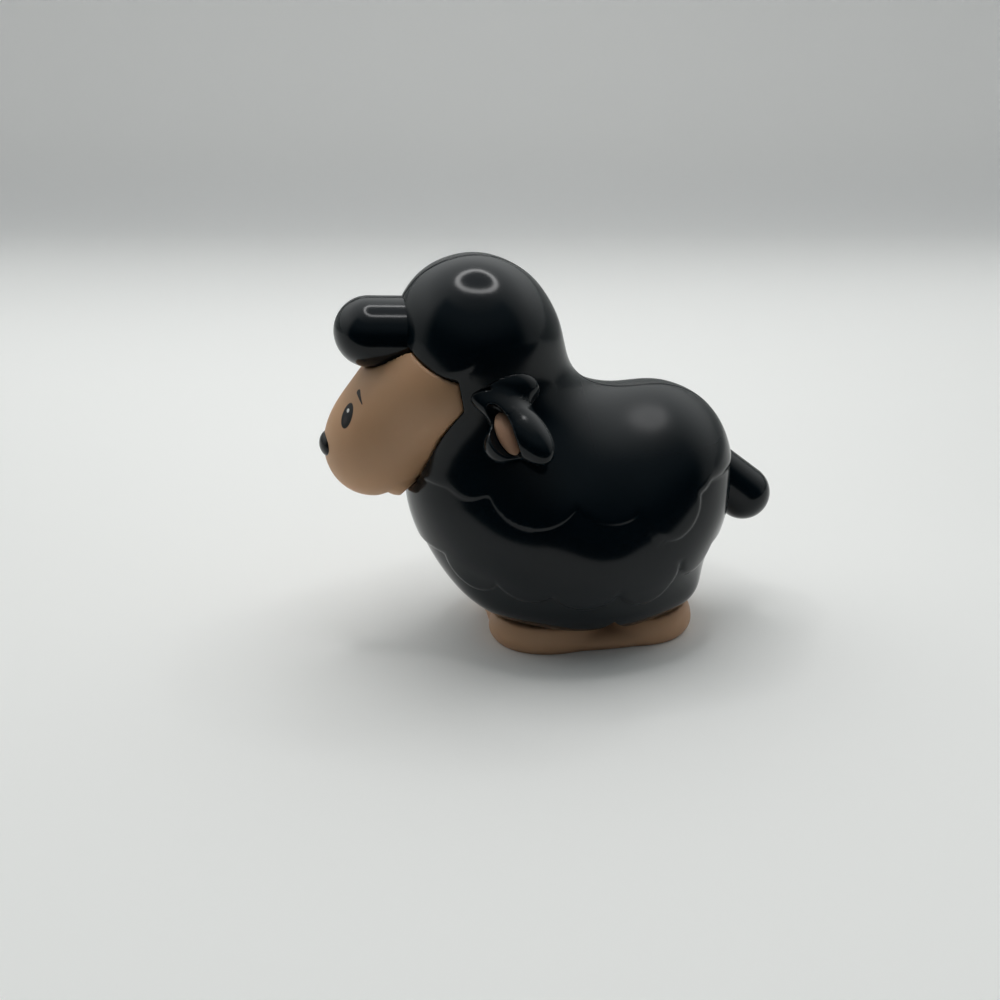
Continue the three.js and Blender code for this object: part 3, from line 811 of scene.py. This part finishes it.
def print_eyes(tree, where, tone):
    """Lays the marks over a colour, each from where it ends to where it is full"""
    positive = add_node(tree, "VectorMath", where, operation="ABSOLUTE")
    folded = add_node(tree, "VectorMath", positive, at(1, -1, 1) / mm, operation="MULTIPLY")
    parts = add_node(tree, "SeparateXYZ", folded)
    ahead = add_node(tree, "Math", parts.outputs["X"], -1.0, operation="MULTIPLY")
    place = add_node(tree, "CombineXYZ", ahead, parts.outputs["Y"], parts.outputs["Z"])
    iris_middle = eye_middle - iris_drop * eye_up
    marks = [
        (printed_brow(tree, place), 0.05, -0.05, "#2a211f"),
        (printed_oval(tree, place, eye_middle, eye_half_height, eye_half_width), 1.06, 0.96, "#0b0c10"),
        (printed_oval(tree, place, iris_middle, iris_half_height, iris_half_width), 1.2, 0.2, "#2e2827"),
        # The last mark, the white dot, is a painted highlight and not print.
        (printed_oval(tree, place, painted_highlight_middle, painted_highlight_half_height, painted_highlight_half_width), 1.1, 0.8, "#f2f0ec"),
    ]
    for distance, ends, full, colour in marks:
        cover = add_node(tree, "MapRange", distance, ends, full, interpolation_type="SMOOTHSTEP")
        tone = add_node(tree, "Mix", cover, _6=tone, _7=srgb(colour), data_type="RGBA").outputs[2]
    return tone


# %% [markdown]
# ## Satin tan plastic
# Face, feet and ear linings are a softer, vinyl-like plastic. Its skin is satin and its pigment slightly
# uneven, and a little light goes in and comes out again, which warms the shadows. A very fine skin
# texture spreads the highlights.

# %% Satin moulded soft plastic for face, feet and linings
cloud_length = 14.0 * mm
skin_length, skin_depth = 0.5 * mm, 0.03 * mm
glow_length = 1.5 * mm


def satin_tan(name, colour, darker, add_print=None):
    material, tree, where = new_material(name)
    cloud = add_node(tree, "TexNoise", Vector=where, Scale=1 / cloud_length, Detail=3.0)
    skin = add_node(tree, "TexNoise", Vector=where, Scale=1 / skin_length, Detail=2.0)
    tone = add_node(tree, "Mix", cloud, _6=srgb(colour), _7=srgb(darker), data_type="RGBA").outputs[2]
    if add_print:
        tone = add_print(tree, where, tone)
    rough = add_node(tree, "MapRange", skin, To_Min=0.42, To_Max=0.55)
    bump = add_node(tree, "Bump", Height=skin, Strength=0.05, Distance=skin_depth)
    shader = add_node(tree, "BsdfPrincipled", Base_Color=tone, Roughness=rough, Normal=bump, IOR=1.46,
                      Subsurface_Weight=0.12, Subsurface_Scale=glow_length,
                      Subsurface_Radius=(1.0, 0.45, 0.25))
    finish_material(tree, shader)
    return material


face_tan = satin_tan("Satin tan soft plastic, face", "#cfa580", "#c79b75", print_eyes)
foot_tan = satin_tan("Satin tan soft plastic, feet", "#c59d7b", "#b98f6d")
lining_tan = satin_tan("Satin tan plastic, ear lining", "#c49a7e", "#b98f73")
face_cup = ball_on(face_field, skull_centre, muzzle_centre, segments=200, rings=150)
make_piece(face_cup, "face_cup", face_tan, "face")

# %% [markdown]
# ## The nose
# A small black button closes the tip of the muzzle. It is a plain oval on the real toy too, so one ball
# is pulled onto it.

# %% The nose button
nose_centre = at(-34.3, 0, 32.9)
nose_half_run = at(0.5, 0, 0)
nose = oval(nose_centre, halves=at(1.9, 3.0, 2.1))
nose_ball = ball_on(nose, nose_centre + nose_half_run, nose_centre - nose_half_run, segments=48, rings=32)
make_piece(nose_ball, "nose_button", nose_black, "nose")

# %% [markdown]
# ## The foot block
# Four round feet on one sole, flat underneath, with soft creases where the feet meet. The real block is
# one moulding, so the feet are blended and not set side by side. The flat sole is a plane's cut through
# the block, because a ball can't be pulled onto a sharp edge.

# %% Feet
foot_gap = 0.15
foot_blend = 1.2
foot_level, foot_half_width, foot_half_height = 2.7, 7.4, 5.2
front_station, rear_station = -1.7, 14.5
front_side, rear_side = 5.7, 4.9
front_half_length, rear_half_length = 8.9, 7.7
sole_level = 1.1


def pair_of_feet(station, side, half_length):
    halves = at(half_length, foot_half_width, foot_half_height)
    return blend(oval(at(station, -side, foot_level), halves), oval(at(station, side, foot_level), halves),
                 foot_blend)


front_feet = pair_of_feet(front_station, front_side, front_half_length)
rear_feet = pair_of_feet(rear_station, rear_side, rear_half_length)
sole = soft_puck(centre=at(6.0, 0, sole_level), halves=at(16.2, 12.7, 3.6), squareness=2.6)
feet = blend(blend(front_feet, sole, foot_blend), rear_feet, foot_blend)


def feet_field(points):
    """The feet, kept clear of the wool's wall"""
    wall = np.maximum(tiered_wool(points), -plain_wool(points) - hollow_depth)
    wall = np.maximum(wall, skirt_height(points[:, 0]) - points[:, 2])
    return np.maximum(feet(points), foot_gap - wall)


foot_block = ball_on(feet_field, at(rear_station, 0, sole_level), at(front_station, 0, sole_level),
                     segments=200, rings=110)
bmesh.ops.bisect_plane(foot_block, geom=foot_block.verts[:] + foot_block.edges[:] + foot_block.faces[:],
                       dist=cut_tolerance, plane_co=(0, 0, 0), plane_no=(0, 0, -1), clear_outer=True)
bmesh.ops.holes_fill(foot_block, edges=[edge for edge in foot_block.edges if edge.is_boundary])
make_piece(foot_block, "foot_block", foot_tan, "foot_base")

# %% [markdown]
# ## The ears
# An ear isn't round enough to pull from one ball. Its leaf, back, bowl, pad and root are rough balls
# instead. A voxel remesh joins them, the cup and the head are cut away, a second remesh evens the mesh,
# and then every vertex settles on the exact form, which has a small rounded edge along the cup. The tan
# lining is one simple form that fills the cup's floor, so it is pulled from a ball.

# %% Exact forms of the left ear and its lining
ear_gap = 0.08
leaf_middle = at(-7.7, -15.0, 39.0)
back_middle = leaf_middle + at(0, 0, 0.7)
pad_middle = at(-9.1, -11.4, 44.4)
bowl_middle = at(-10.1, -15.8, 37.3)
root_middle = at(-11.4, -12.7, 42.9)
cup_middle = at(-10.66, -17.3, 39.41)
cup_along, cup_facing = at(0.33, -0.50, -0.80), at(-0.80, -0.60, 0.05)
ear_leaf = turned_oval(leaf_middle, halves=at(7.0, 3.1, 3.0), along=at(0.5, -0.74, -0.44),
                       facing=at(0, -0.51, 0.86))
ear_back = turned_oval(back_middle, halves=at(5.9, 2.8, 2.3), along=at(0.54, -0.66, -0.52),
                       facing=at(0.52, -0.23, 0.83))
ear_pad = turned_oval(pad_middle, halves=at(5.0, 3.1, 2.5), along=at(1, 0, -0.18), facing=at(0, -1, 0))
ear_bowl = oval(bowl_middle, halves=at(3.0, 2.8, 3.0))
ear_root = turned_oval(root_middle, halves=at(4.8, 2.5, 1.9), along=at(0.68, -0.60, -0.42),
                       facing=at(0.05, -0.49, 0.87))
ear_cup = turned_oval(cup_middle, at(4.7, 1.6, 2.9), cup_along, cup_facing)
ear_outer = blend(blend(ear_leaf, ear_back, reach=2.0), ear_bowl, reach=1.0)
ear_outer = blend(blend(ear_outer, ear_pad, reach=2.0), ear_root, reach=1.4)
lining_oval = turned_oval(at(-9.19, -15.2, 38.37), at(4.0, 1.8, 2.2), cup_along, cup_facing)
cup_edge, root_edge, lining_edge = 0.3, 0.05, 0.12


def outside_head(points):
    return tiered_wool(points) - ear_gap


def black_ear(points):
    cupped = -smooth_min(-ear_outer(points), ear_cup(points), cup_edge)
    return -smooth_min(-cupped, outside_head(points), root_edge)


def ear_lining(points):
    return -smooth_min(-lining_oval(points), black_ear(points) - ear_gap, lining_edge)


# %% Rough solids, joined by a remesh
ball_half_run = at(0, 0, 0.1)


def rough_object(name, *balls):
    """An object with one ball for each pair of a field and a place inside it"""
    bm = bmesh.new()
    for field, middle in balls:
        merge_into(bm, ball_on(field, middle + ball_half_run, middle - ball_half_run, segments=48, rings=32))
    return to_object(name, bm)


def add_remesh(solid, voxel):
    remesh = solid.modifiers.new("one skin", "REMESH")
    remesh.mode = "VOXEL"
    remesh.voxel_size = voxel


def remeshed(solid, cutters, voxel):
    """Joins rough balls into one skin, cuts it, evens its mesh again and gives it as a bmesh"""
    add_remesh(solid, voxel)
    for cutter in cutters:
        cut = solid.modifiers.new("cut", "BOOLEAN")
        cut.operation = "DIFFERENCE"
        cut.solver = "EXACT"
        cut.object = cutter
    add_remesh(solid, voxel)
    evaluated = solid.evaluated_get(bpy.context.evaluated_depsgraph_get())
    bm = bmesh.new()
    bm.from_mesh(evaluated.to_mesh())
    evaluated.to_mesh_clear()
    for helper in [solid] + cutters:
        mesh = helper.data
        bpy.data.objects.remove(helper)
        bpy.data.meshes.remove(mesh)
    return bm


ear_voxel = 0.14
inside_head = at(-9.0, 0, 42.0)
rough_ear = rough_object("rough ear", (ear_leaf, leaf_middle), (ear_back, back_middle), (ear_pad, pad_middle),
                         (ear_bowl, bowl_middle), (ear_root, root_middle))
rough_cup = rough_object("rough cup", (ear_cup, cup_middle))
rough_head = rough_object("rough head", (outside_head, inside_head))
left_ear = remeshed(rough_ear, [rough_cup, rough_head], ear_voxel)
move_to(left_ear, settle(black_ear, places(left_ear)))

# %% The linings, and the pieces of both ears
lining_middle = at(-10.5, -16.4, 38.25)
lining_half_run = 1.2 * unit(cup_along)
left_lining = ball_on(ear_lining, lining_middle - lining_half_run, lining_middle + lining_half_run,
                      segments=96, rings=72)
right_ear, right_lining = mirror_copy(left_ear), mirror_copy(left_lining)
make_piece(left_ear, "ear_left_leaf", wool_black, "ear_left")
make_piece(right_ear, "ear_right_leaf", wool_black, "ear_right")
make_piece(left_lining, "ear_left_insert", lining_tan, "ear_lining_left")
make_piece(right_lining, "ear_right_insert", lining_tan, "ear_lining_right")

# %% [markdown]
# ## The light box
# The toy stood in a small white light box: white walls at both sides and behind, a ring of lamps in the
# roof, a white floor that sweeps up behind, and a dark opening at the front, where the camera looked in.
# The walls could be boards, but light by direction is quicker to render and shows in the plastic in the
# same way. The ring is a real lamp, because the toy mirrors it as a ring.

# %% Camera at the photograph's viewpoint
camera_turn = np.radians(9.0)
camera_pitch = np.radians(23.17)
camera_distance = 235.0
focal_length = 53.3
aim = at(-8.18, 0, 21.63)
back = at(-np.sin(camera_turn) * np.cos(camera_pitch), -np.cos(camera_turn) * np.cos(camera_pitch),
          np.sin(camera_pitch))
camera_data = bpy.data.cameras.new("camera")
camera_data.lens = focal_length
camera_data.sensor_width = 36.0
camera_data.clip_start = 0.01
camera = bpy.data.objects.new("camera", camera_data)
camera.location = Vector((aim + camera_distance * back) * mm)
camera.rotation_euler = Vector(back).to_track_quat("Z", "Y").to_euler()
bpy.context.scene.collection.objects.link(camera)
bpy.context.scene.camera = camera
print("The camera is", camera_distance, "mm away, with a", focal_length, "mm lens")

# %% The walls of the box, as light by direction, with the dark opening at the front
# Directions are angles in degrees: round from the -Y side, where the camera is, toward the tail, and up
# from the floor. Each range runs from none to full. The walls get paler upward, because the lamps are in
# the roof.
opening_to_nose = (-96.0, -78.0)
opening_to_tail = (76.0, 56.0)
opening_to_roof = (66.0, 52.0)
wall_rise = (2.0, 38.0)
wall_to_front = (0.5, -0.5)
room_rise = (8.0, 50.0)


def light_box_world():
    world = bpy.data.worlds.new("Light box")
    world.use_nodes = True
    tree = world.node_tree
    tree.nodes.clear()
    parts = add_node(tree, "SeparateXYZ", add_node(tree, "TexCoord").outputs["Generated"])
    ahead = add_node(tree, "Math", parts.outputs["Y"], -1.0, operation="MULTIPLY")
    turn = add_node(tree, "Math", parts.outputs["X"], ahead, operation="ARCTAN2")
    turn = add_node(tree, "Math", turn, operation="DEGREES")
    rise = add_node(tree, "Math", parts.outputs["Z"], operation="ARCSINE")
    rise = add_node(tree, "Math", rise, operation="DEGREES")
    angles = [(turn, opening_to_nose), (turn, opening_to_tail), (rise, opening_to_roof),
              (rise, wall_rise), (parts.outputs["Y"], wall_to_front), (rise, room_rise)]
    nose_end, tail_end, roof_end, high, forward, room_high = [
        add_node(tree, "MapRange", angle, *limits, interpolation_type="SMOOTHSTEP")
        for angle, limits in angles]
    opening = add_node(tree, "Math", nose_end, tail_end, operation="MULTIPLY")
    opening = add_node(tree, "Math", opening, roof_end, operation="MULTIPLY")
    walls = add_node(tree, "Mix", high, _6=srgb("#a0a3a1"), _7=srgb("#fafcfb"), data_type="RGBA")
    walls = add_node(tree, "Mix", forward, _6=walls.outputs[2], _7=srgb("#8a8d8c"), data_type="RGBA")
    room = add_node(tree, "Mix", room_high, _6=srgb("#12171a"), _7=srgb("#666d71"), data_type="RGBA")
    colour = add_node(tree, "Mix", opening, _6=walls.outputs[2], _7=room.outputs[2], data_type="RGBA")
    direct = add_node(tree, "LightPath").outputs["Is Camera Ray"]
    colour = add_node(tree, "Mix", direct, _6=colour.outputs[2], _7=srgb("#d2d4d2"), data_type="RGBA")
    background = add_node(tree, "Background", Color=colour.outputs[2], Strength=1.3)
    add_node(tree, "OutputWorld", Surface=background)
    bpy.context.scene.world = world


# %% Floor and sweep
# Only the camera sees the paper white in front of its edge, and a little paler far off. Every other ray
# meets the dark opening there, which is what the lower wool mirrors.
paper_edge, paper_fade = -84.0 * mm, 8.0 * mm
far_starts, far_ends = 20 * mm, 200 * mm
far_lift = 0.15
sweep_lead = 700.0
sweep_start = 486.0
sweep_radius = 24.0
sweep_length = 1310.0
sweep_half_width = 1500
floor_drop = 0.05


def stage_object(name, bm, material):
    finished_object(name, bm, material)


def white_sheet(name, colour):
    material, tree, where = new_material(name)
    station = add_node(tree, "SeparateXYZ", where).outputs["Y"]
    direct = add_node(tree, "LightPath").outputs["Is Camera Ray"]
    paper = add_node(tree, "MapRange", station, paper_edge - paper_fade, paper_edge,
                     interpolation_type="SMOOTHSTEP")
    seen = add_node(tree, "Math", paper, direct, operation="MAXIMUM")
    tone = add_node(tree, "Mix", seen, _6=srgb("#161719"), _7=srgb(colour), data_type="RGBA").outputs[2]
    far = add_node(tree, "MapRange", station, far_starts, far_ends, interpolation_type="SMOOTHSTEP")
    lifted = add_node(tree, "Math", far, direct, operation="MULTIPLY")
    lifted = add_node(tree, "Math", lifted, far_lift, operation="MULTIPLY")
    shader = add_node(tree, "BsdfPrincipled", Base_Color=tone, Roughness=0.8, Specular_IOR_Level=0.1,
                      Emission_Color=srgb("#ffffff"), Emission_Strength=lifted)
    finish_material(tree, shader)
    return material


def swept_sheet():
    """One sheet that lies flat, bends up behind the toy and stands, squared to the camera"""
    bm = bmesh.new()
    bmesh.ops.create_grid(bm, x_segments=1, y_segments=400, size=1)
    sheet = places(bm)
    run = (sheet[:, 1] + 1) / 2 * sweep_length - sweep_lead
    bent = np.clip((run - sweep_start) / sweep_radius, 0, np.pi / 2)
    risen = np.maximum(run - sweep_start - sweep_radius * np.pi / 2, 0)
    ahead = np.minimum(run, sweep_start) + sweep_radius * np.sin(bent)
    height = sweep_radius * (1 - np.cos(bent)) + risen
    ground = at(-np.sin(camera_turn), -np.cos(camera_turn), 0)
    across = at(np.cos(camera_turn), -np.sin(camera_turn), 0)
    camera_foot = (aim + camera_distance * back) * at(1, 1, 0)
    move_to(bm, camera_foot + sheet[:, :1] * sweep_half_width * across - ahead[:, None] * ground
            + (height - floor_drop)[:, None] * at(0, 0, 1))
    return bm


light_box_world()
stage_object("sweep", swept_sheet(), white_sheet("White paper sweep", "#f3f3f1"))

# %% The lamps in the roof
ring_centre = at(0, 26, 200)
ring_inner, ring_outer = 44, 57
dish_centre = ring_centre + at(0, 0, 2)
round_segments = 128


def glowing(name, colour, strength):
    material, tree, _ = new_material(name)
    finish_material(tree, add_node(tree, "Emission", Color=srgb(colour), Strength=strength))
    return material


def ring_lamp(centre, inner, outer):
    bm = bmesh.new()
    bmesh.ops.create_cone(bm, cap_ends=False, segments=round_segments, radius1=outer, radius2=inner, depth=1)
    bmesh.ops.translate(bm, vec=centre, verts=bm.verts)
    return bm


def lamp_dish(centre, radius):
    bm = bmesh.new()
    bmesh.ops.create_circle(bm, cap_ends=True, segments=round_segments, radius=radius)
    bmesh.ops.translate(bm, vec=centre, verts=bm.verts)
    return bm


stage_object("ring lamp", ring_lamp(ring_centre, ring_inner, ring_outer),
             glowing("Ring of lamps", "#ffffff", strength=9.5))
stage_object("lamp dish", lamp_dish(dish_centre, ring_inner),
             glowing("Dim middle of the ring", "#ffffff", strength=0.65))

scene = bpy.context.scene
scene.view_settings.view_transform = "Standard"
